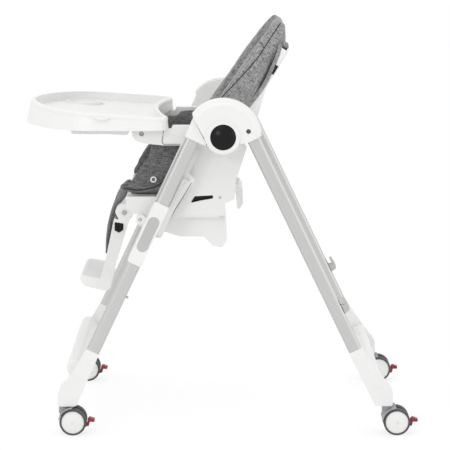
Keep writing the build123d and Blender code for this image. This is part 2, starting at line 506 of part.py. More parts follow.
def footrest_frame():
    """Two arms with round heads, a back panel and a tread with a rounded front and grip ribs."""
    arm = outline([(-214, 448), (-193, 448), (-220.5, 359), (-241, 296), (-265, 296), (-247, 357), (-226, 452)], 4)
    slant = outline([(FOOT_ARM_INNER_X, 500), (FOOT_ARM_OUTER_X, 500), (FOOT_ARM_OUTER_X, 436), (TREAD_HALF, 318),
                     (TREAD_HALF, 270), (TREAD_HALF - 26, 270), (TREAD_HALF - 26, 318), (FOOT_ARM_INNER_X, 436)])
    left = side_prism(arm, 0, FOOT_ARM_OUTER_X) & front_prism(slant, -300, -150)
    left += x_disc(FOOTREST_HEAD_R, FOOT_ARM_INNER_X, FOOT_ARM_OUTER_X, FOOTREST_Y, FOOTREST_Z)
    left -= x_disc(FOOTREST_PIN_R + STEM_FIT, FOOT_ARM_INNER_X - 1, FOOT_ARM_OUTER_X + 1, FOOTREST_Y, FOOTREST_Z)
    left -= side_prism(button_outline(0.3), FOOT_ARM_OUTER_X - 12, FOOT_ARM_OUTER_X + 1)
    panel = side_prism(outline([(-229, 425), (-224, 425), (-240, 356), (-250.5, 306), (-255.5, 306), (-245, 356)]),
                       -FOOT_ARM_OUTER_X, FOOT_ARM_OUTER_X)
    panel &= front_prism(outline([(-156, 436), (156, 436), (TREAD_HALF - 12, 318), (TREAD_HALF - 12, 300),
                                  (-TREAD_HALF + 12, 300), (-TREAD_HALF + 12, 318)]), -300, -150)
    tread = make_face([ThreePointArc((-295, 316.5), (-305, 311), (-302, 300)),
                       ThreePointArc((-302, 300), (-296, 294), (-287, 291.5)), Line((-287, 291.5), (-246.5, 282)),
                       Line((-246.5, 282), (-238.5, 289)), Line((-238.5, 289), (-238.5, 303)),
                       Line((-238.5, 303), (-265, 311)), Line((-265, 311), (-295, 316.5))])
    plan = outline([(-TREAD_HALF, -190), (-TREAD_HALF, -305.5), (TREAD_HALF, -305.5), (TREAD_HALF, -190)], TREAD_CORNER)
    plate = side_prism(tread, -TREAD_HALF, TREAD_HALF) & plan_prism(plan, 270, 330)
    hollow = outline([(-289, 289), (-294, 302.5), (-247, 295.5), (-245, 279)])
    for bay_low, bay_high in ((-88, -32), (-29, 29), (32, 88)):
        plate -= side_prism(hollow, bay_low, bay_high)
    return left + other_side(left) + panel + plate


def button_outline(grow):
    """Window of the footrest's push-button."""
    return offset(outline([(-225, 443), (-206, 440), (-207, 426), (-216, 420), (-225, 425)], 2), grow)


def footrest_button():
    """Push-button in the outer face of a footrest arm."""
    return side_prism(button_outline(0), FOOT_ARM_OUTER_X - 6, FOOT_ARM_OUTER_X + 1)


def footrest_pin():
    """Shouldered pivot screw through the lug and the arm's head."""
    pin = x_disc(FOOTREST_PIN_R, 134, FOOT_ARM_OUTER_X + 0.3, FOOTREST_Y, FOOTREST_Z)
    return pin + x_disc(FOOTREST_SCREW_R, FOOT_ARM_OUTER_X + 0.3, FOOT_ARM_OUTER_X + 2, FOOTREST_Y, FOOTREST_Z)


def calf_pad():
    """A thin pad that hangs in front of the footrest, fuller above and tapering to its hem."""
    pad = make_face([Line((-231.5, 440), (-240, 441)), ThreePointArc((-240, 441), (-247.5, 412), (-249.5, 371)),
                     ThreePointArc((-249.5, 371), (-248, 367), (-245, 368)), Line((-245, 368), (-231.5, 440))])
    return side_prism(pad, -140, 140)


def tray_outline():
    """Plan of the tray: bowed front, round corners, two horns and a hollow for the child."""
    angle = math.radians(TRAY_CORNER_ANGLE)
    corner_x = TRAY_SIDE - TRAY_CORNER_R
    meet = (corner_x + TRAY_CORNER_R * math.cos(angle), TRAY_CORNER_Y - TRAY_CORNER_R * math.sin(angle))
    half_way = (corner_x + TRAY_CORNER_R * math.cos(angle / 2), TRAY_CORNER_Y - TRAY_CORNER_R * math.sin(angle / 2))
    bow_centre = TRAY_CORNER_Y + corner_x * math.tan(angle)
    front = bow_centre - math.hypot(meet[0], meet[1] - bow_centre)
    shoulder = TRAY_SIDE - HORN_R
    bend = HORN_R * math.sqrt(0.5)
    right = [Line((HORN_INNER, 0), (shoulder, 0)),
             ThreePointArc((shoulder, 0), (shoulder + bend, -HORN_R + bend), (TRAY_SIDE, -HORN_R)),
             Line((TRAY_SIDE, -HORN_R), (TRAY_SIDE, TRAY_CORNER_Y)),
             ThreePointArc((TRAY_SIDE, TRAY_CORNER_Y), half_way, meet)]
    inner_end = (HORN_INNER - 22, -4)
    tip = ThreePointArc((HORN_INNER, 0), (HORN_INNER - 11, -1), inner_end)
    left = [mirror(edge, about=Plane.YZ) for edge in right + [tip]]
    bow = ThreePointArc(meet, (0, front), (-meet[0], meet[1]))
    hollow = ThreePointArc(inner_end, (0, -HOLLOW_DEPTH), (-inner_end[0], inner_end[1]))
    return make_face(right + [tip] + left + [bow, hollow])


def tray_base(plan):
    """Tray body: well for the liner above, skirt below, channels that straddle the armrest tongues."""
    body = loft([Pos(0, 0, TRAY_FOOT) * plan, Pos(0, 0, -RIM_TALL) * offset(plan, -RIM_INSET)], ruled=True)
    body -= plan_prism(offset(plan, -13), BASE_FLOOR, 0)
    body -= plan_prism(offset(plan, -7), TRAY_FOOT - 1, BASE_UNDER)
    body = TRAY_FRAME * body
    body &= block(-300, 300, -460, 0, TRAY_UNDERSIDE_Z, 760)
    support = block(ARM_INNER_X + 1, ARM_OUTER_X - 1, -312, -150, TRAY_UNDERSIDE_Z, 664)
    for cheek_x in (ARM_INNER_X - 4, ARM_OUTER_X + 0.6):
        support += block(cheek_x, cheek_x + 3.4, -312, -192, 640, 664)
    ceiling = TRAY_FRAME * block(-300, 300, -400, 50, BASE_UNDER + 1.5, 40)
    support -= ceiling
    guide = TRAY_FRAME * block(LATCH_HALF + HUB_GAP, LATCH_HALF + 3.5, -312, -276, BASE_UNDER - 13.5, BASE_UNDER + 0.5)
    return body + support + other_side(support) + guide + other_side(guide)


def tray_liner(plan):
    """Lift-off liner: a hollow rolled rim, a bowl, two cup rings near the front and a finger lip on each side."""
    rim_plan = offset(plan, -RIM_INSET)
    rim = plan_prism(rim_plan, -RIM_TALL, 0)
    rim = fillet(rim.faces().sort_by(Axis.Z)[-1].edges(), RIM_ROUND)
    bowl = offset(plan, -14)
    rim -= plan_prism(offset(rim_plan, -RIM_WALL) - bowl, -RIM_TALL - 1, -RIM_WALL - 1)
    liner = rim + plan_prism(bowl, LINER_UNDER, -RIM_TALL) - plan_prism(offset(plan, -17), LINER_FLOOR, 1)
    for cup_x in (-150, 150):
        cup = Pos(cup_x, -205)
        liner += cup * (plan_prism(Circle(42), LINER_FLOOR, LINER_FLOOR + 5)
                        - plan_prism(Circle(39), LINER_FLOOR - 1, LINER_FLOOR + 6))
    ends = ((LIP_Y - LIP_HALF, -RIM_TALL + 3), (LIP_Y + LIP_HALF, -RIM_TALL + 3))
    lip_face = make_face([Line(*ends), ThreePointArc(ends[1], (LIP_Y, -RIM_TALL - 4), ends[0])])
    lip = side_prism(lip_face, LIP_INNER, LIP_OUTER)
    lip += block(TRAY_SIDE - RIM_INSET - 2, LIP_OUTER, LIP_Y - LIP_HALF, LIP_Y + LIP_HALF,
                 -RIM_TALL + 3, -RIM_TALL + 4.5)
    return TRAY_FRAME * (liner + lip + other_side(lip))


def tray_latch():
    """A hollow pull under the front edge of the tray, between two guides."""
    pull = block(-LATCH_HALF, LATCH_HALF, -304, -280, BASE_UNDER - 12.5, BASE_UNDER - HUB_GAP)
    hollow = block(-LATCH_HALF + 5, LATCH_HALF - 5, -300, -284, BASE_UNDER - 13, BASE_UNDER - 4.5)
    return TRAY_FRAME * (pull - hollow)


def build_pieces():
    """Every node by name."""
    pieces = {}
    pairs = {
        "front_leg": FRONT_FRAME * leg(-1, LEG_END, FRONT_LEG_TOP),
        "front_foot": front_foot(),
        "front_hub": hub_inner_shell(),
        "rear_leg": REAR_FRAME * leg(1, LEG_END, REAR_LEG_TOP),
        "rear_foot": rear_foot(),
        "rear_hub": hub_outer_cover(),
        "fold_button": fold_button(),
        "slider": slider(),
        "height_lever": height_lever(),
        "armrest": armrest(),
        "footrest_button": footrest_button(),
    }
    for name, piece in pairs.items():
        pieces[name + "_left"] = piece
        pieces[name + "_right"] = other_side(piece)
    plan = tray_outline()
    pad = cushion_pad()
    back_cushion = back_cushion_form()
    pieces.update({
        "front_crossbar": crossbar(-306, 132, 50, 36, 25),
        "rear_crossbar": crossbar(329, 118, 40, 30, -25),
        "fold_axles": both_sides(fold_axle()),
        "tray_hooks": both_sides(tray_hook()),
        "slider_inserts": both_sides(slider_insert()),
        "seat_shell": seat_shell(),
        "seat_base": seat_base(),
        "seat_cushion": seat_cushion(pad),
        "seat_straps": seat_straps(pad),
        "harness_buckle": harness_buckle(pad),
        "footrest_pins": both_sides(footrest_pin()),
        "backrest_shell": backrest_shell(),
        "backrest_cushion": BACK_FRAME * back_cushion,
        "shoulder_straps": shoulder_straps(back_cushion),
        "recline_handle": recline_handle(),
        "footrest_frame": footrest_frame(),
        "calf_pad": calf_pad(),
        "tray_base": tray_base(plan),
        "tray_liner": tray_liner(plan),
        "tray_latch": tray_latch(),
    })
    caster = {"fork": caster_fork(), "tyres": caster_tyres(), "discs": caster_discs(), "brake": caster_brake()}
    for end, stem_y in (("front", FRONT_STEM_Y), ("rear", REAR_STEM_Y)):
        for hand, x in (("left", LEG_X), ("right", -LEG_X)):
            for name, piece in caster.items():
                pieces["_".join((end, "caster", name, hand))] = Pos(x, stem_y, 0) * piece
    return pieces


def main():
    os.makedirs("parts", exist_ok=True)
    for name, piece in build_pieces().items():
        export_step(piece, "parts/" + name + ".step")


if __name__ == "__main__":
    main()
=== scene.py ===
import json
import math

import bmesh
import bpy
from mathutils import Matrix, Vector
from mathutils.bvhtree import BVHTree
from mathutils.kdtree import KDTree


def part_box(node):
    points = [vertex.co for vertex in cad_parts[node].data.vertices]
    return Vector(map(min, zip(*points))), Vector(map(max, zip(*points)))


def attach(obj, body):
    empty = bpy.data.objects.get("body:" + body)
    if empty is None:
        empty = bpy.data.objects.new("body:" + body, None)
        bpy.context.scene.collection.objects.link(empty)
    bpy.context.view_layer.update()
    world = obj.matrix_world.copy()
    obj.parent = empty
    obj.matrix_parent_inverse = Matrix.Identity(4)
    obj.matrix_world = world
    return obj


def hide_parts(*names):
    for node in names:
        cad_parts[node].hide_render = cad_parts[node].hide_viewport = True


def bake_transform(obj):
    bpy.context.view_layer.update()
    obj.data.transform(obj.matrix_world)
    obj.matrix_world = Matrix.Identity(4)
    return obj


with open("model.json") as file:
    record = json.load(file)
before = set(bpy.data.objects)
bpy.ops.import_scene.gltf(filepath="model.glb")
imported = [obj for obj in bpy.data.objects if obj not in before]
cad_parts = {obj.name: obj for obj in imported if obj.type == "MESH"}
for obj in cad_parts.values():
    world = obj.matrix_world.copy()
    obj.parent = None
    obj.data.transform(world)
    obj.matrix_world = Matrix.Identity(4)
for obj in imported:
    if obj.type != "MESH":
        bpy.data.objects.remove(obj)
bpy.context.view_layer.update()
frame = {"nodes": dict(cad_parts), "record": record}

bl_info = {
    "name": "Folding baby high chair",
    "version": (1, 0, 0),
    "blender": (4, 5, 0),
    "location": "View3D > Sidebar > High chair",
    "description": "Gives the high chair its finishes, soft goods and small fittings",
    "category": "Object",
}

NODES = frame["nodes"]
SLOT_OF = {row["node"]: row["material_slot"] for row in frame["record"]["subparts"]}
HANDS = {"left": 1.0, "right": -1.0}
MM = 0.001

# Lean of the legs and of the backrest from upright
FRONT_LEAN = math.radians(25.2)
REAR_LEAN = math.radians(25.7)
BACK_LEAN = math.radians(31.0)

# Foot of the backrest, the way up its slope and the way towards the child
BACK_FOOT = Vector((0.0, -0.005, 0.569))
BACK_UP = Vector((0, math.sin(BACK_LEAN), math.cos(BACK_LEAN)))
BACK_OUT = Vector((0, -math.cos(BACK_LEAN), math.sin(BACK_LEAN)))

# Names of the finishes
CLOTH, DARK_CLOTH = "polyester_melange_woven", "polyester_melange_woven_dark"
THREAD, PALE_THREAD = "polyester_thread_dark", "polyester_thread_pale"
GREY_WEBBING, BLACK_WEBBING = "polyester_webbing_grey", "polyester_webbing_black"
WHITE, BLACK, GREY_PLASTIC = "ABS_moulded_white", "ABS_polished_black", "polypropylene_moulded_grey"
DARK_GREY, STEEL = "polyurethane_tyre_grey", "steel_zinc_plated"

# Lines in the side plane, in millimetres of depth and height
SIDE_SEAM = ((-12, 691), (9, 715), (45, 753), (81, 794), (109, 835), (126, 860), (136, 874))
HEAD_DART = ((76, 843), (88, 831), (97, 815))
WING_HEM = ((-204, 520), (-174, 516), (-147, 520), (-129, 527), (-104, 548))
WING_JOIN = ((-155, 583), (-137, 570), (-120, 556))
SNAP_BUTTON = (-140, 539)
FLAP_LINE = ((-199.5, 503), (-205, 502), (-211, 497), (-218, 486.5), (-224.5, 472.5), (-230.5, 457),
             (-237.5, 430), (-242.5, 400), (-245.5, 371))
FLAP_HALF = 139 * MM
# The slider's parting line: a dark bead along it paints the shade in its gap
SLIDER_JOINT = ((-58, 537.5), (-77, 505.5), (-98, 471), (-121, 425), (-124, 422.5), (-131, 422))
HUB_SEAM = ((-54.3, 678.2), (-43.6, 659.2), (-33, 640.3))
HUB_FACE_X = 278.5
# The armrest's parting line: a dark bead along it paints the shade in its gap
ARMREST_JOINT = ((-117, 650), (-119, 635), (-120.5, 625), (-118.5, 619), (-112, 618), (-81, 618))
# Outline of the hand opening in the shell's side, and the place across of a black plate in it: painted shade
# of the hollow behind
SHELL_OPENING = ((-66, 486), (-53, 507), (-10, 509), (-10, 496), (-40, 490))
SHELL_OPENING_X = (199.8, 200.9)

# Lines on the backrest, in millimetres across, up its slope and towards the child
HOOD_HEM = ((0, 285, -3.0), (60, 285.5, -3.0), (105, 287, -2.0), (132, 290, 1.0), (147, 296, 6.0))
SIDE_HEM = ((148.5, 290, 14.0), (149.5, 272, 9.0), (150.0, 235, 2.5), (150.0, 200, -0.5), (150.0, 170, 1.0),
            (149.5, 140, 5.0), (149.0, 112, 10.0))
PULL_TAB = ((152.2, 236, 2.5), (151.8, 236, -1.5), (151.6, 236, -6.0))
SHOULDER_STRAP = ((51, 62, 0), (51, 120, 0), (51, 180, 0), (51, 236, 0))
BACK_QUILT_TOP = ((-108, 270, 0), (0, 285, 0), (108, 270, 0))
BACK_QUILT_SIDE = ((118, 30, 0), (124, 100, 0), (120, 200, 0), (108, 270, 0))
BACK_QUILT_ROWS = (105, 185)
BACK_QUILT_HALF = 118

# Outline of the shell's side flange, up the slope and towards the child, and its place across
FLANGE = ((112, 1.5), (205, 3.0), (260, 8.0), (284, 11.0), (284, -5.0), (112, -5.0))
FLANGE_X = (147, 151.6)

# Lines on the seat pad, in millimetres across and in depth
SEAT_QUILT_ROW = ((-148, -100), (0, -108), (148, -100))
SEAT_QUILT_SIDE = ((75, -180), (82.5, -100), (75, -30))
CROTCH_STRAP = ((0, -152), (0, -120), (0, -88))
LAP_STRAP = ((60, -36), (100, -34), (148, -32))
STRAP_WIDTH, STRAP_THICKNESS = 25 * MM, 1.7 * MM

# Screws of the left side: place and head radius in millimetres
SCREWS = {
    "slider_screw_": ((235.2, -65, 543), 3.6),
    "footrest_screw_": ((174, -204, 464), 3.6),
    "seat_screw_": ((228, -168, 457), 4.0),
    "armrest_screw_": ((225, -164, 640), 4.4),
    "shell_screw_": ((205.4, 2, 501), 3.0),
}
HUB_RIVET_PLACE = (283.5, 61.5, 651)
LEG_STOP_PLACE = (262, -197.5, 296.5)

# Turned profiles, in millimetres of radius and height
SNAP_RING = ((6.0, -1.0), (7.0, 0.0), (6.8, 1.2), (5.6, 1.9), (3.9, 1.6), (3.6, 0.4))
SNAP_SOCKET = ((3.5, -0.5), (3.5, 0.6), (2.0, 0.9), (1.6, 0.4))
BUCKLE_BUTTON = ((10.5, -1.5), (10.5, 0.6), (9.6, 1.5), (7.0, 1.3), (0.5, 0.9))
HUB_RIVET = ((4.4, -2.0), (4.6, 0.6), (3.8, 1.6), (1.0, 1.8))
LEG_STOP = ((2.0, -2.0), (2.6, 0.0), (2.6, 4.2), (1.8, 5.2), (0.5, 5.4))


def linear(hex_colour):
    """An sRGB hex colour as linear red, green and blue."""
    channels = [int(hex_colour[i:i + 2], 16) / 255 for i in (0, 2, 4)]
    return [c / 12.92 if c <= 0.04045 else ((c + 0.055) / 1.055) ** 2.4 for c in channels]


class HighChairColours(bpy.types.PropertyGroup):
    """Colours that a buyer could choose."""
    white: bpy.props.FloatVectorProperty(
        name="White mouldings", description="Colour of the moulded frame, shell and tray",
        subtype="COLOR", size=3, default=linear("ededec"))
    tube: bpy.props.FloatVectorProperty(
        name="Leg tubes", description="Colour of the anodised legs",
        subtype="COLOR", size=3, default=linear("cccccb"))
    cloth_light: bpy.props.FloatVectorProperty(
        name="Light yarn", description="Lighter yarn of the melange cloth",
        subtype="COLOR", size=3, default=linear("b8b8b8"))
    cloth_dark: bpy.props.FloatVectorProperty(
        name="Dark yarn", description="Darker yarn of the melange cloth",
        subtype="COLOR", size=3, default=linear("585858"))
    pedal: bpy.props.FloatVectorProperty(
        name="Brake pedals", description="Colour of the brake pedals",
        subtype="COLOR", size=3, default=linear("96202f"))


class HighChairSizes(bpy.types.PropertyGroup):
    """Sizes of the trim that a maker would tune."""
    edge: bpy.props.FloatProperty(
        name="Edge radius", description="Rounding of the moulded edges",
        default=1.6 * MM, unit="LENGTH", subtype="DISTANCE")
    seam: bpy.props.FloatProperty(
        name="Seam width", description="Width that a seam draws in on each side",
        default=9 * MM, unit="LENGTH", subtype="DISTANCE")
    stitch: bpy.props.FloatProperty(
        name="Stitch pitch", description="Distance from one stitch to the next",
        default=4.2 * MM, unit="LENGTH", subtype="DISTANCE")
    voxel: bpy.props.FloatProperty(
        name="Cloth mesh", description="Mesh size of the padded pieces",
        default=5 * MM, unit="LENGTH", subtype="DISTANCE")


def add(tree, kind, inputs=(), **settings):
    """Adds a node with its settings, and gives each named input a value or a link."""
    node = tree.nodes.new(kind)
    for option, value in settings.items():
        setattr(node, option, value)
    for socket, value in dict(inputs).items():
        if isinstance(value, bpy.types.NodeSocket):
            tree.links.new(value, node.inputs[socket])
        else:
            node.inputs[socket].default_value = value
    return node


def start_finish(name):
    """An empty material with its shader and output."""
    material = bpy.data.materials.new(name)
    material.use_nodes = True
    tree = material.node_tree
    tree.nodes.clear()
    shader = add(tree, "ShaderNodeBsdfPrincipled")
    add(tree, "ShaderNodeOutputMaterial", {"Surface": shader.outputs["BSDF"]})
    return material, tree, shader


def object_place(tree):
    """The place on the object that a pattern is drawn by."""
    return add(tree, "ShaderNodeTexCoord").outputs["Object"]


def noise(tree, place, scale, detail):
    """A soft random pattern from 0 to 1."""
    return add(tree, "ShaderNodeTexNoise", {"Vector": place, "Scale": scale, "Detail": detail}).outputs["Fac"]


def two_tone(tree, shader, pattern, colour, darker, lighter):
    """Lets a pattern vary the base colour between a darker and a lighter share of it."""
    low = (*[c * darker for c in colour], 1)
    high = (*[min(1.0, c * lighter) for c in colour], 1)
    shade = add(tree, "ShaderNodeMix", {0: pattern, 6: low, 7: high}, data_type="RGBA")
    tree.links.new(shade.outputs[2], shader.inputs["Base Color"])


def vary_roughness(tree, shader, pattern, low, high):
    """Lets a pattern vary the roughness between two values."""
    gloss = add(tree, "ShaderNodeMapRange", {"Value": pattern, "To Min": low, "To Max": high})
    tree.links.new(gloss.outputs[0], shader.inputs["Roughness"])


def emboss(tree, shader, pattern, depth, strength):
    """Lets a pattern raise the surface a little."""
    bump = add(tree, "ShaderNodeBump", {"Height": pattern, "Distance": depth, "Strength": strength})
    tree.links.new(bump.outputs[0], shader.inputs["Normal"])


def moulded(name, colour, roughness, grain_mm, relief_mm, specular=0.5):
    """Injection-moulded plastic: even colour with a faint cloud, and the fine grain of a sparked mould."""
    material, tree, shader = start_finish(name)
    place = object_place(tree)
    two_tone(tree, shader, noise(tree, place, 1 / (70 * MM), 2.0), colour, 0.965, 1.015)
    grain = noise(tree, place, 1 / (grain_mm * MM), 3.0)
    vary_roughness(tree, shader, grain, roughness - 0.05, roughness + 0.07)
    emboss(tree, shader, grain, relief_mm * MM, 0.5)
    shader.inputs["IOR"].default_value = 1.53
    shader.inputs["Specular IOR Level"].default_value = specular
    return material


def anodised_tube(name, colour, lean):
    """Drawn aluminium, satin anodised: long drawing lines run down the leg and spread its highlight."""
    material, tree, shader = start_finish(name)
    line_width, line_length = 0.9 * MM, 260 * MM
    upright = add(tree, "ShaderNodeMapping", {"Vector": object_place(tree), "Rotation": (lean, 0, 0)})
    stretched = add(tree, "ShaderNodeMapping", {"Vector": upright.outputs[0],
                                                "Scale": (1 / line_width, 1 / line_width, 1 / line_length)})
    lines = noise(tree, stretched.outputs[0], 1.0, 3.0)
    two_tone(tree, shader, lines, colour, 0.88, 1.1)
    vary_roughness(tree, shader, lines, 0.3, 0.46)
    emboss(tree, shader, lines, 0.03 * MM, 0.4)
    shader.inputs["Metallic"].default_value = 1.0
    return material


def melange_weave(name, dark, light, lean):
    """Polyester melange, plain woven: flecked light and dark yarns, dull, with a soft sheen.
    The real yarn is about 0.5 mm; it is drawn 1.7 mm wide so that the flecks show from a step away."""
    material, tree, shader = start_finish(name)
    place = add(tree, "ShaderNodeTexCoord").outputs
    panel = add(tree, "ShaderNodeMapping", {"Vector": place["Object"], "Rotation": (lean, 0, 0)})
    facing = add(tree, "ShaderNodeSeparateXYZ", {0: place["Normal"]})
    side = add(tree, "ShaderNodeMath", {0: facing.outputs[0]}, operation="ABSOLUTE")
    side = add(tree, "ShaderNodeMapRange", {"Value": side.outputs[0], "From Min": 0.55, "From Max": 0.8})
    yarn, slub = 1 / (1.7 * MM), 1 / (15 * MM)
    flecks = {}
    for key, scale in (("along", (yarn, yarn, slub)), ("across_front", (slub, yarn, yarn)),
                       ("across_side", (yarn, slub, yarn))):
        stretched = add(tree, "ShaderNodeMapping", {"Vector": panel.outputs[0], "Scale": scale})
        flecks[key] = add(tree, "ShaderNodeTexNoise", {"Vector": stretched.outputs[0], "Scale": 1.0,
                                                       "Detail": 2.5, "Roughness": 0.65}).outputs["Fac"]
    across = add(tree, "ShaderNodeMix",
                 {0: side.outputs[0], 2: flecks["across_front"], 3: flecks["across_side"]})
    both = add(tree, "ShaderNodeMath", {0: across.outputs[0], 1: 0.62}, operation="MULTIPLY")
    both = add(tree, "ShaderNodeMath", {0: flecks["along"], 1: 0.38, 2: both.outputs[0]},
               operation="MULTIPLY_ADD")
    ramp = add(tree, "ShaderNodeMapRange", {"Value": both.outputs[0], "From Min": 0.37, "From Max": 0.63})
    shade = add(tree, "ShaderNodeMix", {0: ramp.outputs[0], 6: (*dark, 1), 7: (*light, 1)},
                data_type="RGBA")
    tree.links.new(shade.outputs[2], shader.inputs["Base Color"])
    emboss(tree, shader, both.outputs[0], 0.7 * MM, 0.55)
    shader.inputs["Roughness"].default_value = 0.92
    shader.inputs["Specular IOR Level"].default_value = 0.2
    shader.inputs["Sheen Weight"].default_value = 0.25
    shader.inputs["Sheen Roughness"].default_value = 0.5
    return material


def ribbed_webbing(name, colour):
    """Polyester webbing, flat woven: narrow ribs across the strap with a slight sheen."""
    material, tree, shader = start_finish(name)
    rib = 2.4 * MM
    ribs = add(tree, "ShaderNodeTexWave", {"Vector": object_place(tree), "Scale": 1 / (math.pi * rib),
                                           "Distortion": 0.6, "Detail": 1.0}, bands_direction="DIAGONAL")
    two_tone(tree, shader, ribs.outputs["Fac"], colour, 0.65, 1.3)
    emboss(tree, shader, ribs.outputs["Fac"], 0.4 * MM, 0.6)
    shader.inputs["Roughness"].default_value = 0.75
    shader.inputs["Sheen Weight"].default_value = 0.15
    return material


def zinc_steel(name):
    """Zinc-plated steel, turned: pale grey metal with a fine even grain."""
    material, tree, shader = start_finish(name)
    grain = noise(tree, object_place(tree), 1 / (0.6 * MM), 2.0)
    vary_roughness(tree, shader, grain, 0.25, 0.4)
    shader.inputs["Base Color"].default_value = (*linear("b4b6b8"), 1)
    shader.inputs["Metallic"].default_value = 1.0
    return material


def finish_cad_nodes(colours):
    """Builds every finish and puts it on the nodes by their slot."""
    by_slot = {
        "white_plastic": moulded(WHITE, list(colours.white), 0.36, 0.7, 0.05),
        "black_plastic": moulded(BLACK, linear("060607"), 0.24, 0.9, 0.01, specular=0.22),
        "grey_plastic": moulded(GREY_PLASTIC, linear("9b9ca0"), 0.5, 0.6, 0.06),
        "red_plastic": moulded("acetal_moulded_red", list(colours.pedal), 0.34, 0.7, 0.04),
        "tyre": moulded(DARK_GREY, linear("4b4c4f"), 0.62, 1.1, 0.1),
        "steel": zinc_steel(STEEL),
        "fabric": melange_weave(CLOTH, list(colours.cloth_dark), list(colours.cloth_light), BACK_LEAN),
        "webbing": ribbed_webbing(GREY_WEBBING, linear("4a4b4e")),
    }
    tubes = {
        "front_leg": anodised_tube("aluminium_anodised_front", list(colours.tube), FRONT_LEAN),
        "rear_leg": anodised_tube("aluminium_anodised_rear", list(colours.tube), -REAR_LEAN),
    }
    pale_grey = moulded("elastomer_moulded_pale_grey", linear("bcbcbb"), 0.55, 0.6, 0.06)
    melange_weave(DARK_CLOTH, [c * 0.55 for c in colours.cloth_dark],
                  [c * 0.5 for c in colours.cloth_light], 0.0)
    ribbed_webbing(BLACK_WEBBING, linear("0a0a0b"))
    ribbed_webbing(THREAD, linear("2c2d2f"))
    ribbed_webbing(PALE_THREAD, linear("8e8f92"))
    for name, node in NODES.items():
        slot = SLOT_OF[name]
        material = tubes[name.rsplit("_", 1)[0]] if slot == "aluminium" else by_slot[slot]
        if name in ("slider_inserts", "tray_hooks"):
            material = pale_grey
        node.data.materials.clear()
        node.data.materials.append(material)


def round_edges(node, radius):
    """Rounds a moulding's edges over its own solid."""
    node.modifiers.new("join_faces", "WELD").merge_threshold = 0.005 * MM
    flat = node.modifiers.new("flat_faces", "DECIMATE")
    flat.decimate_type = "DISSOLVE"
    flat.angle_limit = math.radians(0.8)
    bevel = node.modifiers.new("edge_radius", "BEVEL")
    bevel.width = radius
    bevel.segments = 3
    bevel.limit_method = "ANGLE"
    bevel.angle_limit = math.radians(32)
    bevel.use_clamp_overlap = True
    bevel.miter_outer = "MITER_ARC"
    normals = node.modifiers.new("even_shading", "WEIGHTED_NORMAL")
    normals.keep_sharp = False
    for face in node.data.polygons:
        face.use_smooth = True


class HIGHCHAIR_OT_finishes(bpy.types.Operator):
    """Puts the finishes on the frame, shell, tray and casters, and rounds the moulded edges"""
    bl_idname = "highchair.finishes"
    bl_label = "Frame finishes"

    def execute(self, context):
        finish_cad_nodes(context.scene.high_chair_colours)
        edge = context.scene.high_chair_sizes.edge
        for name, node in NODES.items():
            if SLOT_OF[name] in ("white_plastic", "grey_plastic", "red_plastic", "black_plastic"):
                small = "caster" in name or "button" in name or "hook" in name
                round_edges(node, edge * (0.4 if small else 1.0))
        return {"FINISHED"}


class HIGHCHAIR_OT_stage(bpy.types.Operator):
    """Adds the floor, the lights and the camera"""
    bl_idname = "highchair.stage"
    bl_label = "Stage"

    def execute(self, context):
        scene = context.scene
        scene.view_settings.view_transform = "Standard"
        make_floor(scene)
        make_world(scene)
        make_lights(scene)
        make_camera(scene)
        return {"FINISHED"}


def seen_directly(tree):
    """A value of 1 for what is seen, also in a gloss or through glass, and 0 for light on the object."""
    rays = add(tree, "ShaderNodeLightPath").outputs
    seen = rays["Is Camera Ray"]
    for kind in ("Is Glossy Ray", "Is Transmission Ray"):
        seen = add(tree, "ShaderNodeMath", {0: seen, 1: rays[kind]}, operation="MAXIMUM").outputs[0]
    return seen


def make_floor(scene):
    """A wide pale floor that shows white to the camera and keeps the shadow."""
    half = 9.0
    corners = [(-half, -half, 0), (half, -half, 0), (half, half, 0), (-half, half, 0)]
    mesh = bpy.data.meshes.new("floor")
    mesh.from_pydata(corners, [], [(0, 1, 2, 3)])
    floor = bpy.data.objects.new("floor", mesh)
    scene.collection.objects.link(floor)
    material, tree, shader = start_finish("studio_floor_matt_white")
    shader.inputs["Base Color"].default_value = (*linear("f6f6f6"), 1)
    shader.inputs["Roughness"].default_value = 0.6
    share = add(tree, "ShaderNodeMath", {0: seen_directly(tree), 1: 0.72}, operation="MULTIPLY")
    glow = add(tree, "ShaderNodeEmission", {"Color": (1, 1, 1, 1), "Strength": 1.06})
    mixed = add(tree, "ShaderNodeMixShader",
                {0: share.outputs[0], 1: shader.outputs[0], 2: glow.outputs[0]})
    output = next(node for node in tree.nodes if node.type == "OUTPUT_MATERIAL")
    tree.links.new(mixed.outputs[0], output.inputs["Surface"])
    mesh.materials.append(material)


def make_world(scene):
    """Even studio air: white behind the object, softer as a light on it."""
    world = bpy.data.worlds.new("studio_air")
    world.use_nodes = True
    tree = world.node_tree
    tree.nodes.clear()
    strength = add(tree, "ShaderNodeMapRange", {"Value": seen_directly(tree), "To Min": 0.92, "To Max": 1.0})
    air = add(tree, "ShaderNodeBackground", {"Color": (1, 1, 1, 1), "Strength": strength.outputs[0]})
    add(tree, "ShaderNodeOutputWorld", {"Surface": air.outputs[0]})
    scene.world = world


def make_lights(scene):
    """One broad box above, a fill from the camera's side and a weaker one from behind the chair."""
    aim = Vector((0.0, 0.0, 0.5))
    boxes = (
        ("light_above", (0.6, -0.6, 3.0), 2.6, 10.0),
        ("light_fill", (3.6, -1.8, 1.9), 0.9, 15.0),
        ("light_rear", (1.6, 3.4, 1.5), 2.0, 9.0),
    )
    for name, place, size, power in boxes:
        data = bpy.data.lights.new(name, "AREA")
        data.size = size
        data.energy = power
        lamp = bpy.data.objects.new(name, data)
        lamp.location = place
        lamp.rotation_euler = (aim - Vector(place)).to_track_quat("-Z", "Y").to_euler()
        scene.collection.objects.link(lamp)


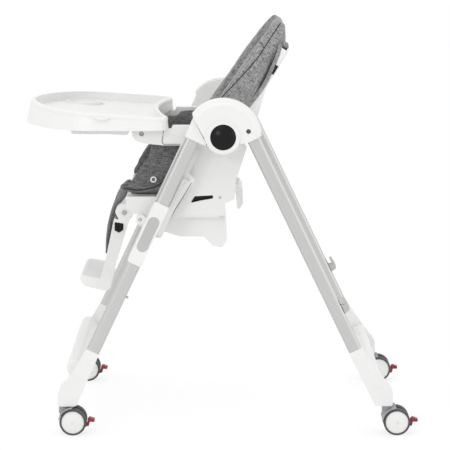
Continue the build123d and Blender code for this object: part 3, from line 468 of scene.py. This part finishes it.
def make_camera(scene):
    """A long lens from the child's left, a little above the tray."""
    tilt, yaw = math.radians(8.543), math.radians(0.163)
    data = bpy.data.cameras.new("camera")
    data.sensor_width = 36.0
    data.lens = 168.1
    data.clip_end = 60.0
    camera = bpy.data.objects.new("camera", data)
    camera.location = (4.650, 0.0, 1.1095)
    aim = Vector((-math.cos(tilt) * math.cos(yaw), math.cos(tilt) * math.sin(yaw), -math.sin(tilt)))
    camera.rotation_euler = aim.to_track_quat("-Z", "Y").to_euler()
    scene.collection.objects.link(camera)
    scene.camera = camera


def new_piece(name, mesh, material, body):
    """A piece with its finish that moves with a body."""
    piece = bpy.data.objects.new(name, mesh)
    bpy.context.scene.collection.objects.link(piece)
    mesh.materials.clear()
    mesh.materials.append(bpy.data.materials[material])
    for face in mesh.polygons:
        face.use_smooth = True
    if body:
        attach(piece, body)
    return piece


def mesh_of(name, form):
    """The mesh of a bmesh, which is then freed."""
    bmesh.ops.recalc_face_normals(form, faces=form.faces)
    mesh = bpy.data.meshes.new(name)
    form.to_mesh(mesh)
    form.free()
    return mesh


def separate_solids(node):
    """The closed solids of a node, as welded meshes from the lowest X to the highest."""
    whole = bmesh.new()
    whole.from_mesh(NODES[node].data)
    bmesh.ops.remove_doubles(whole, verts=whole.verts, dist=0.02 * MM)
    left = set(whole.verts)
    groups = []
    while left:
        front = [left.pop()]
        group = []
        while front:
            vertex = front.pop()
            group.append(vertex)
            for edge in vertex.link_edges:
                other = edge.other_vert(vertex)
                if other in left:
                    left.remove(other)
                    front.append(other)
        groups.append(group)
    groups.sort(key=lambda group: sum(v.co.x for v in group) / len(group))
    meshes = []
    for group in groups:
        part = whole.copy()
        part.verts.ensure_lookup_table()
        whole.verts.index_update()
        kept = {v.index for v in group}
        bmesh.ops.delete(part, geom=[v for v in part.verts if v.index not in kept], context="VERTS")
        meshes.append(mesh_of(node, part))
    whole.free()
    return meshes


def settle(piece):
    """Makes what the modifiers give the piece's own mesh."""
    evaluated = piece.evaluated_get(bpy.context.evaluated_depsgraph_get())
    mesh = bpy.data.meshes.new_from_object(evaluated)
    piece.modifiers.clear()
    piece.data = mesh


def surface(piece):
    """A tree of the piece's faces, to find points on it."""
    form = bmesh.new()
    form.from_mesh(piece.data)
    tree = BVHTree.FromBMesh(form)
    form.free()
    return tree


def spread(points, spacing):
    """Points at an even spacing on a smooth curve through the given ones."""
    points = [Vector(p) for p in points]
    ends = [2 * points[0] - points[1], *points, 2 * points[-1] - points[-2]]
    fine = []
    for before, start, end, after in zip(ends, ends[1:], ends[2:], ends[3:]):
        slope = end - before
        bend = 2 * before - 5 * start + 4 * end - after
        twist = 3 * start - before - 3 * end + after
        count = max(2, int((end - start).length / spacing))
        for step in range(count):
            t = step / count
            fine.append(0.5 * (2 * start + slope * t + bend * t * t + twist * t ** 3))
    return fine + [points[-1]]


def side_line(points, spacing=3 * MM):
    """A smooth line in the middle plane through points of depth and height in millimetres."""
    return spread([(0, y * MM, z * MM) for y, z in points], spacing)


def plan_line(points, spacing, sign=1.0):
    """A smooth level line through points across and in depth, in millimetres of the left side."""
    return spread([(sign * x * MM, y * MM, 0) for x, y in points], spacing)


def back_point(x, along, toward):
    """A point of the backrest: across, up its slope, and towards the child, in millimetres."""
    return BACK_FOOT + Vector((x * MM, 0, 0)) + BACK_UP * (along * MM) + BACK_OUT * (toward * MM)


def back_line(points, spacing, sign=1.0):
    """A smooth line on the backrest through points of the left side."""
    return spread([back_point(sign * x, along, toward) for x, along, toward in points], spacing)


def on_side(point, sign):
    """A point given in millimetres for the left side, on either side of the chair."""
    x, y, z = point
    return Vector((sign * x * MM, y * MM, z * MM))


def trace(tree, points, direction, reach=0.5):
    """Where rays from the points along a direction meet a surface: places and normals."""
    hits = []
    for point in points:
        place, normal, _, _ = tree.ray_cast(Vector(point) - Vector(direction) * reach, Vector(direction))
        if place is not None:
            hits.append((place, normal))
    return hits


def places_of(hits):
    """The places of a traced line, without their normals."""
    return [place for place, _ in hits]


def nearness(path, width):
    """A function that is 1 on the path and falls to 0 at a width from it."""
    tree = KDTree(len(path))
    for number, point in enumerate(path):
        tree.insert(point, number)
    tree.balance()

    def weight(point):
        distance = tree.find(point)[2]
        return 0.0 if distance > width else 0.5 + 0.5 * math.cos(math.pi * distance / width)
    return weight


def puff(piece, seams, voxel, cap, inset):
    """Fills a cloth cover that is cut a little small, so that it swells between its seams."""
    remesh = piece.modifiers.new("even_mesh", "REMESH")
    remesh.mode = "VOXEL"
    remesh.voxel_size = voxel
    settle(piece)
    sewn = nearness([p for seam in seams for p in seam], 1.6 * voxel)
    for vertex, normal in [(v, v.normal.copy()) for v in piece.data.vertices]:
        vertex.co -= normal * inset
    rest = [v.co.copy() for v in piece.data.vertices]
    pins = piece.vertex_groups.new(name="sewn")
    for vertex in piece.data.vertices:
        pins.add([vertex.index], sewn(vertex.co), "REPLACE")
    simulate_cloth(piece)
    for vertex, start in zip(piece.data.vertices, rest):
        step = vertex.co - start
        if step.length > cap:
            vertex.co = start + step * (cap / step.length)
    piece.vertex_groups.clear()
    soft = piece.modifiers.new("even_cloth", "SMOOTH")
    soft.factor = 0.5
    soft.iterations = 2
    piece.modifiers.new("finer", "SUBSURF").levels = 1
    settle(piece)
    for face in piece.data.polygons:
        face.use_smooth = True


def simulate_cloth(piece):
    """A short run of cloth under air pressure, held by its sewn points."""
    frames = 20
    cloth = piece.modifiers.new("stuffing", "CLOTH")
    settings = cloth.settings
    settings.quality = 4
    settings.mass = 0.3
    settings.tension_stiffness = 18
    settings.compression_stiffness = 18
    settings.bending_stiffness = 0.6
    settings.use_pressure = True
    settings.uniform_pressure_force = 4.0
    settings.effector_weights.gravity = 0.0
    settings.vertex_group_mass = "sewn"
    cloth.collision_settings.use_collision = False
    cloth.collision_settings.use_self_collision = False
    cloth.point_cache.frame_start = 1
    cloth.point_cache.frame_end = frames
    for number in range(1, frames + 1):
        bpy.context.scene.frame_set(number)
    settle(piece)
    bpy.context.scene.frame_set(1)


def draw_in(piece, seams, width, depth):
    """Pulls the cloth in along its seams."""
    sewn = nearness([p for seam in seams for p in seam], width)
    moves = [vertex.normal * depth * sewn(vertex.co) for vertex in piece.data.vertices]
    for vertex, move in zip(piece.data.vertices, moves):
        vertex.co -= move


def skin(form, rings):
    """Faces round a row of rings, closed at both ends."""
    sides = len(rings[0])
    for ring, after in zip(rings, rings[1:]):
        for side in range(sides):
            beside = (side + 1) % sides
            form.faces.new((ring[side], ring[beside], after[beside], after[side]))
    form.faces.new(rings[0])
    form.faces.new(list(reversed(rings[-1])))


def tube(name, path, radius, material, body, slot, sides=8, flat=1.0, outward=None):
    """A round or flattened bead along a path, closed at both ends."""
    form = bmesh.new()
    rings = []
    last = len(path) - 1
    for number, point in enumerate(path):
        ahead = path[min(number + 1, last)] - path[max(number - 1, 0)]
        up = outward[number] if outward else Vector((1.0, 0.0, 0.0))
        across = ahead.cross(up).normalized()
        up = across.cross(ahead).normalized()
        taper = 0.55 if number in (0, last) else 1.0
        ring = []
        for side in range(sides):
            angle = 2 * math.pi * side / sides
            offset = across * math.cos(angle) * radius + up * math.sin(angle) * radius * flat
            ring.append(form.verts.new(point + offset * taper))
        rings.append(ring)
    skin(form, rings)
    return new_piece(name, mesh_of(name, form), material, body)


def traced_bead(name, hits, radius, material, body, slot, flat=1.0):
    """A bead that lies on a surface along a traced line."""
    normals = [normal for _, normal in hits]
    return tube(name, places_of(hits), radius, material, body, slot, flat=flat, outward=normals)


def stitch_row(name, hits, material, body, pitch):
    """A row of short threads along a traced line."""
    form = bmesh.new()
    length, radius, sides = 0.62 * pitch, 0.55 * MM, 6
    travelled = 0.0
    for (start, up), (end, _) in zip(hits, hits[1:]):
        travelled += (end - start).length
        if travelled < pitch:
            continue
        travelled = 0.0
        along = (end - start).normalized()
        across = along.cross(up).normalized()
        rings = []
        for place, grow in ((-0.5, 0.3), (-0.3, 1.0), (0.3, 1.0), (0.5, 0.3)):
            centre = start + along * place * length + up * radius * 0.3 * grow
            ring = []
            for side in range(sides):
                angle = 2 * math.pi * side / sides
                spoke = across * math.cos(angle) + up * math.sin(angle)
                ring.append(form.verts.new(centre + spoke * radius * grow))
            rings.append(ring)
        skin(form, rings)
    return new_piece(name, mesh_of(name, form), material, body)


def add_strap(form, hits, width, thickness):
    """Flat webbing laid on a surface along places and their normals."""
    rows = []
    places = places_of(hits)
    clearance = 0.2 * MM
    section = ((-0.5, 0.2), (-0.46, 1.0), (0.46, 1.0), (0.5, 0.2), (0.46, 0.0), (-0.46, 0.0))
    for number, (place, normal) in enumerate(hits):
        ahead = places[min(number + 1, len(places) - 1)] - places[max(number - 1, 0)]
        across = ahead.cross(normal).normalized()
        row = []
        for side, lift in section:
            raised = normal * (lift * thickness + clearance)
            row.append(form.verts.new(place + across * side * width + raised))
        rows.append(row)
    skin(form, rows)


def hanging_pad(name, path, half, thickness, material):
    """A thin stuffed flap that follows a path down the middle of the chair, blunt at its edges."""
    form = bmesh.new()
    columns, last, bluntness = 32, len(path) - 1, 14
    layers = []
    for side in (0.5, -0.5):
        rows = []
        for number, place in enumerate(path):
            ahead = path[min(number + 1, last)] - path[max(number - 1, 0)]
            forward = Vector((0, ahead.z, -ahead.y)).normalized()
            share = 2 * number / last - 1
            row = []
            for column in range(columns + 1):
                across = math.sin(math.pi * (column / columns - 0.5))
                full = (1 - abs(across) ** bluntness) * (1 - abs(share) ** bluntness)
                lift = side * math.sqrt(max(0.0, full)) * thickness(number / last)
                row.append(form.verts.new(place + Vector((across * half, 0, 0)) + forward * lift))
            rows.append(row)
        layers.append(rows)
    for rows in layers:
        for row, after in zip(rows, rows[1:]):
            for column in range(columns):
                form.faces.new((row[column], row[column + 1], after[column + 1], after[column]))
    bmesh.ops.remove_doubles(form, verts=form.verts, dist=0.01 * MM)
    return new_piece(name, mesh_of(name, form), material, None)


def side_plate(name, points, reach, sign, material, body):
    """A small flat moulding: an outline in the side plane between two distances from the middle."""
    low, high = sorted(sign * distance * MM for distance in reach)
    form = bmesh.new()
    near = [form.verts.new((high, y * MM, z * MM)) for y, z in points]
    far = [form.verts.new((low, y * MM, z * MM)) for y, z in points]
    form.faces.new(near)
    form.faces.new(list(reversed(far)))
    for number in range(len(points)):
        after = (number + 1) % len(points)
        form.faces.new((near[number], far[number], far[after], near[after]))
    bmesh.ops.bevel(form, geom=list(form.edges), offset=0.25 * MM, segments=2, affect="EDGES", profile=0.5)
    return new_piece(name, mesh_of(name, form), material, body)


def turned(name, profile, centre, axis, material, body, sides=32):
    """A small turned piece: a profile of radius and height about an axis through its centre."""
    axis = Vector(axis).normalized()
    across = axis.orthogonal().normalized()
    other = axis.cross(across)
    form = bmesh.new()
    rings = []
    for radius, height in profile:
        ring = []
        for side in range(sides):
            angle = 2 * math.pi * side / sides
            spoke = across * math.cos(angle) + other * math.sin(angle)
            ring.append(form.verts.new(Vector(centre) + spoke * radius * MM + axis * height * MM))
        rings.append(ring)
    skin(form, rings)
    return new_piece(name, mesh_of(name, form), material, body)


def screw(name, centre, axis, radius, body):
    """A pan-head screw with a driven recess."""
    profile = [(0.5 * radius, -2.0), (radius, -0.2), (radius, 0.3), (0.8 * radius, 0.9),
               (0.5 * radius, 1.0), (0.4 * radius, -0.6), (0.1 * radius, -0.8)]
    return turned(name, profile, centre, axis, STEEL, body, sides=24)


def parting_shade_bead(name, node, line, hand, body):
    """A dark grey bead half sunk in the outer face of a moulding along a parting line: painted shade of the
    gap between the two parts.
    """
    hits = trace(surface(NODES[node + hand]), side_line(line, 2 * MM), (-HANDS[hand], 0, 0))
    traced_bead(name + hand, hits, 0.7 * MM, DARK_GREY, body, "tyre", flat=0.5)


class HIGHCHAIR_OT_backrest(bpy.types.Operator):
    """Sews and stuffs the bucket backrest, with its side seams, the hem over the shell and the pull tabs"""
    bl_idname = "highchair.backrest"
    bl_label = "Backrest cushion"

    def execute(self, context):
        sizes = context.scene.high_chair_sizes
        cushion = new_piece("backrest_cover", separate_solids("backrest_cushion")[0], CLOTH, None)
        tree = surface(cushion)
        seams = [trace(tree, side_line(line, 4 * MM), (-sign, 0, 0)) for sign in HANDS.values()
                 for line in (SIDE_SEAM, HEAD_DART)]
        quilting = [back_line(BACK_QUILT_TOP, 4 * MM)]
        for sign in HANDS.values():
            quilting.append(back_line(BACK_QUILT_SIDE, 4 * MM, sign))
        for along in BACK_QUILT_ROWS:
            row = ((-BACK_QUILT_HALF, along, 0), (0, along - 4, 0), (BACK_QUILT_HALF, along, 0))
            quilting.append(back_line(row, 4 * MM))
        seams += [trace(tree, line, -BACK_OUT) for line in quilting]
        seams = [places_of(hits) for hits in seams]
        puff(cushion, seams, sizes.voxel, 7 * MM, 4 * MM)
        draw_in(cushion, seams, sizes.seam, 2.2 * MM)
        self.crown(cushion)
        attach(cushion, "backrest")
        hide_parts("backrest_cushion")
        tree = surface(cushion)
        for hand, sign in HANDS.items():
            for name, line, radius in (("seam", SIDE_SEAM, 1.1), ("dart", HEAD_DART, 0.8)):
                hits = trace(tree, side_line(line), (-sign, 0, 0))
                piece = "_".join(("backrest", name, hand))
                traced_bead(piece, hits, radius * MM, THREAD, "backrest", "webbing")
        self.hem()
        return {"FINISHED"}

    def crown(self, cushion):
        """Fills the top of the hood, which is round from its front roll to the back of the head."""
        lift, foot, rise = 11 * MM, 290 * MM, 26 * MM
        middle, reach = 35 * MM, 36 * MM
        for vertex in cushion.data.vertices:
            place = vertex.co - BACK_FOOT
            height = min(1.0, max(0.0, (place.dot(BACK_UP) - foot) / rise))
            depth = abs(place.dot(BACK_OUT) - middle) / reach
            if depth < 1:
                swell = height * height * (3 - 2 * height) * (0.5 + 0.5 * math.cos(math.pi * depth))
                vertex.co += BACK_UP * lift * swell

    def hem(self):
        """The rolled edge of the hood over the shell, the shell's side flanges and a black tab on each."""
        far_half = [(-x, along, toward) for x, along, toward in reversed(HOOD_HEM[1:])]
        roll = back_line([*far_half, *HOOD_HEM], 5 * MM)
        tube("backrest_hood_hem", roll, 6.2 * MM, CLOTH, "backrest", "fabric", sides=14,
             outward=[-BACK_OUT] * len(roll))
        corners = [back_point(0, along, toward) / MM for along, toward in FLANGE]
        flange = [(corner.y, corner.z) for corner in corners]
        for hand, sign in HANDS.items():
            out = Vector((sign, 0, 0))
            roll = back_line(SIDE_HEM, 6 * MM, sign)
            tube("backrest_side_hem_" + hand, roll, 4.6 * MM, CLOTH, "backrest", "fabric", sides=12,
                 outward=[out] * len(roll))
            side_plate("backrest_flange_" + hand, flange, FLANGE_X, sign, WHITE, "backrest")
            tab = bmesh.new()
            add_strap(tab, [(place, out) for place in back_line(PULL_TAB, 2 * MM, sign)], 21 * MM, 1.4 * MM)
            mesh = mesh_of("backrest_tab", tab)
            new_piece("backrest_tab_" + hand, mesh, BLACK_WEBBING, "backrest")


class HIGHCHAIR_OT_seat(bpy.types.Operator):
    """Stuffs the seat pad and the two side wings, with their hems, seams and snap buttons"""
    bl_idname = "highchair.seat"
    bl_label = "Seat cushion"

    def execute(self, context):
        sizes = context.scene.high_chair_sizes
        right, *middle, left = separate_solids("seat_cushion")
        pad_mesh = max(middle, key=lambda mesh: max(vertex.co.z for vertex in mesh.vertices))
        pad = new_piece("seat_pad", pad_mesh, DARK_CLOTH, None)
        tree = surface(pad)
        quilting = [plan_line(SEAT_QUILT_ROW, 4 * MM)]
        for sign in HANDS.values():
            quilting.append(plan_line(SEAT_QUILT_SIDE, 4 * MM, sign))
        seams = [places_of(trace(tree, line, (0, 0, -1), 1.0)) for line in quilting]
        puff(pad, seams, sizes.voxel, 6 * MM, 3 * MM)
        draw_in(pad, seams, sizes.seam, 2 * MM)
        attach(pad, "carriage")
        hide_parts("seat_cushion")
        for hand, mesh in (("left", left), ("right", right)):
            self.wing(hand, mesh, sizes)
        return {"FINISHED"}

    def wing(self, hand, mesh, sizes):
        """A side wing: two panels joined on a slant, a bound hem below and a snap button."""
        inward = (-HANDS[hand], 0, 0)
        wing = new_piece("seat_wing_" + hand, mesh, DARK_CLOTH, None)
        tree = surface(wing)
        seams = [places_of(trace(tree, side_line(line, 4 * MM), inward)) for line in (WING_HEM, WING_JOIN)]
        puff(wing, seams, sizes.voxel, 5 * MM, 3.5 * MM)
        draw_in(wing, seams, sizes.seam, 1.5 * MM)
        if hand == "right":
            self.drop_corner(wing)
        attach(wing, "carriage")
        tree = surface(wing)
        hem = trace(tree, side_line(WING_HEM), inward)
        traced_bead("seat_wing_hem_" + hand, hem, 1.6 * MM, THREAD, "carriage", "webbing")
        join = trace(tree, side_line(WING_JOIN, 1.5 * MM), inward)
        stitch_row("seat_wing_stitches_" + hand, join, PALE_THREAD, "carriage", sizes.stitch)
        place, normal = trace(tree, [on_side((0, *SNAP_BUTTON), 1.0)], inward)[0]
        turned("seat_snap_" + hand, SNAP_RING, place, normal, WHITE, "carriage")
        turned("seat_snap_socket_" + hand, SNAP_SOCKET, place, normal, THREAD, "carriage",
               sides=20)

    def drop_corner(self, wing):
        """Lets the front corner of a wing hang down, as loose cloth does."""
        fold, droop = -186 * MM, 0.55
        for vertex in wing.data.vertices:
            ahead = fold - vertex.co.y
            if ahead > 0:
                vertex.co.y += droop * ahead
                vertex.co.z -= droop * ahead


class HIGHCHAIR_OT_calf_flap(bpy.types.Operator):
    """Hangs the padded calf flap from the front of the seat over the footrest"""
    bl_idname = "highchair.calf_flap"
    bl_label = "Calf flap"

    def execute(self, context):
        path = side_line(FLAP_LINE, 6 * MM)
        flap = hanging_pad("calf_flap", path, FLAP_HALF, self.thickness, DARK_CLOTH)
        for vertex in flap.data.vertices:
            vertex.co.z -= self.sag(vertex.co)
        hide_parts("calf_pad")
        left_edge = [Vector((FLAP_HALF, 0, 0)) + place for place in path]
        foot = [Vector((x * FLAP_HALF, 0, 0)) + path[-1] for x in (0.9, 0.6, 0.3, 0, -0.3, -0.6, -0.9)]
        right_edge = [Vector((-FLAP_HALF, 0, 0)) + place for place in reversed(path)]
        rim, outward = [], []
        for line, out in ((left_edge, (1, 0, 0)), (foot, (0, 0, -1)), (right_edge, (-1, 0, 0))):
            rim += [place - Vector((0, 0, self.sag(place))) for place in line]
            outward += [Vector(out)] * len(line)
        binding = tube("calf_flap_binding", rim, 1.7 * MM, DARK_CLOTH, None, "fabric", outward=outward)
        for piece in (flap, binding):
            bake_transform(piece)
        return {"FINISHED"}

    def thickness(self, share):
        """Thickness of the flap at a share of its length, thin at its lower edge."""
        return (12.5 - 7.0 * share ** 4) * MM

    def sag(self, place):
        """How far the crest of the flap lies lower toward its two sides."""
        depth, foot, rise = 11 * MM, 470 * MM, 30 * MM
        height = min(max((place.z - foot) / rise, 0.0), 1.0)
        return depth * height * abs(place.x / FLAP_HALF) ** 1.5


class HIGHCHAIR_OT_harness(bpy.types.Operator):
    """Lays the harness webbing on the cushions and dresses the buckle"""
    bl_idname = "highchair.harness"
    bl_label = "Harness"

    def execute(self, context):
        pad = surface(bpy.data.objects["seat_pad"])
        lap = bmesh.new()
        paths = [plan_line(CROTCH_STRAP, 6 * MM)]
        for sign in HANDS.values():
            paths.append(plan_line(LAP_STRAP, 6 * MM, sign))
        for path in paths:
            add_strap(lap, trace(pad, path, (0, 0, -1), 1.0), STRAP_WIDTH, STRAP_THICKNESS)
        piece = new_piece("lap_webbing", mesh_of("lap_webbing", lap), GREY_WEBBING, "carriage")
        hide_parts("seat_straps")
        back = surface(bpy.data.objects["backrest_cover"])
        shoulder = bmesh.new()
        for sign in HANDS.values():
            path = back_line(SHOULDER_STRAP, 6 * MM, sign)
            add_strap(shoulder, trace(back, path, -BACK_OUT), STRAP_WIDTH, STRAP_THICKNESS)
        mesh = mesh_of("shoulder_webbing", shoulder)
        piece = new_piece("shoulder_webbing", mesh, GREY_WEBBING, "backrest")
        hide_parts("shoulder_straps")
        low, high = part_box("harness_buckle")
        middle = ((low[0] + high[0]) / 2, (low[1] + high[1]) / 2, high[2])
        turned("harness_buckle_button", BUCKLE_BUTTON, middle, (0, 0, 1), GREY_PLASTIC, "carriage")
        return {"FINISHED"}


class HIGHCHAIR_OT_fittings(bpy.types.Operator):
    """Adds dark beads on the parting lines that paint the shade in their gaps, screws, rivets, stop pegs and
    a black plate in the hand opening that paints the shade of the hollow behind it
    """
    bl_idname = "highchair.fittings"
    bl_label = "Small fittings"

    def execute(self, context):
        behind_leg = Vector((0, math.cos(FRONT_LEAN), -math.sin(FRONT_LEAN)))
        for hand, sign in HANDS.items():
            out = (sign, 0, 0)
            # Dark beads on the parting lines paint the shade in the gaps between the mouldings
            parting_shade_bead("armrest_joint_shade_", "armrest_", ARMREST_JOINT, hand, "carriage")
            parting_shade_bead("slider_joint_shade_", "slider_", SLIDER_JOINT, hand, "carriage")
            for name, (place, radius) in SCREWS.items():
                screw(name + hand, on_side(place, sign), out, radius, "carriage")
            seam = [place + Vector((sign * HUB_FACE_X * MM, 0, 0)) for place in side_line(HUB_SEAM)]
            tube("hub_seam_" + hand, seam, 0.36 * MM, WHITE, "front_frame", "white_plastic", flat=3.0)
            # A black plate in the hand opening paints the shade of the hollow behind it
            side_plate("shell_opening_shade_" + hand, SHELL_OPENING, SHELL_OPENING_X, sign, BLACK, "carriage")
            turned("hub_rivet_" + hand, HUB_RIVET, on_side(HUB_RIVET_PLACE, sign), out, DARK_GREY,
                   "rear_frame", sides=24)
            turned("leg_stop_" + hand, LEG_STOP, on_side(LEG_STOP_PLACE, sign), behind_leg, STEEL,
                   "front_frame", sides=20)
        return {"FINISHED"}


class HIGHCHAIR_PT_panel(bpy.types.Panel):
    """Shows the colours, the sizes and a button for each step"""
    bl_idname = "HIGHCHAIR_PT_panel"
    bl_label = "High chair"
    bl_space_type = "VIEW_3D"
    bl_region_type = "UI"
    bl_category = "High chair"

    def draw(self, context):
        for name in ("white", "tube", "cloth_light", "cloth_dark", "pedal"):
            self.layout.prop(context.scene.high_chair_colours, name)
        for name in ("edge", "seam", "stitch", "voxel"):
            self.layout.prop(context.scene.high_chair_sizes, name)
        for operator in OPERATORS:
            self.layout.operator(operator.bl_idname)


OPERATORS = (HIGHCHAIR_OT_stage, HIGHCHAIR_OT_finishes, HIGHCHAIR_OT_backrest, HIGHCHAIR_OT_seat,
             HIGHCHAIR_OT_calf_flap, HIGHCHAIR_OT_harness, HIGHCHAIR_OT_fittings)
CLASSES = (HighChairColours, HighChairSizes, *OPERATORS, HIGHCHAIR_PT_panel)


def register():
    """Adds the classes and the scene's settings."""
    for cls in CLASSES:
        bpy.utils.register_class(cls)
    bpy.types.Scene.high_chair_colours = bpy.props.PointerProperty(type=HighChairColours)
    bpy.types.Scene.high_chair_sizes = bpy.props.PointerProperty(type=HighChairSizes)


def unregister():
    """Takes the scene's settings and the classes away."""
    del bpy.types.Scene.high_chair_sizes
    del bpy.types.Scene.high_chair_colours
    for cls in reversed(CLASSES):
        bpy.utils.unregister_class(cls)


def main():
    """Dresses the chair."""
    register()
    for operator in OPERATORS:
        group, action = operator.bl_idname.split(".")
        getattr(getattr(bpy.ops, group), action)()


if __name__ == "__main__":
    main()
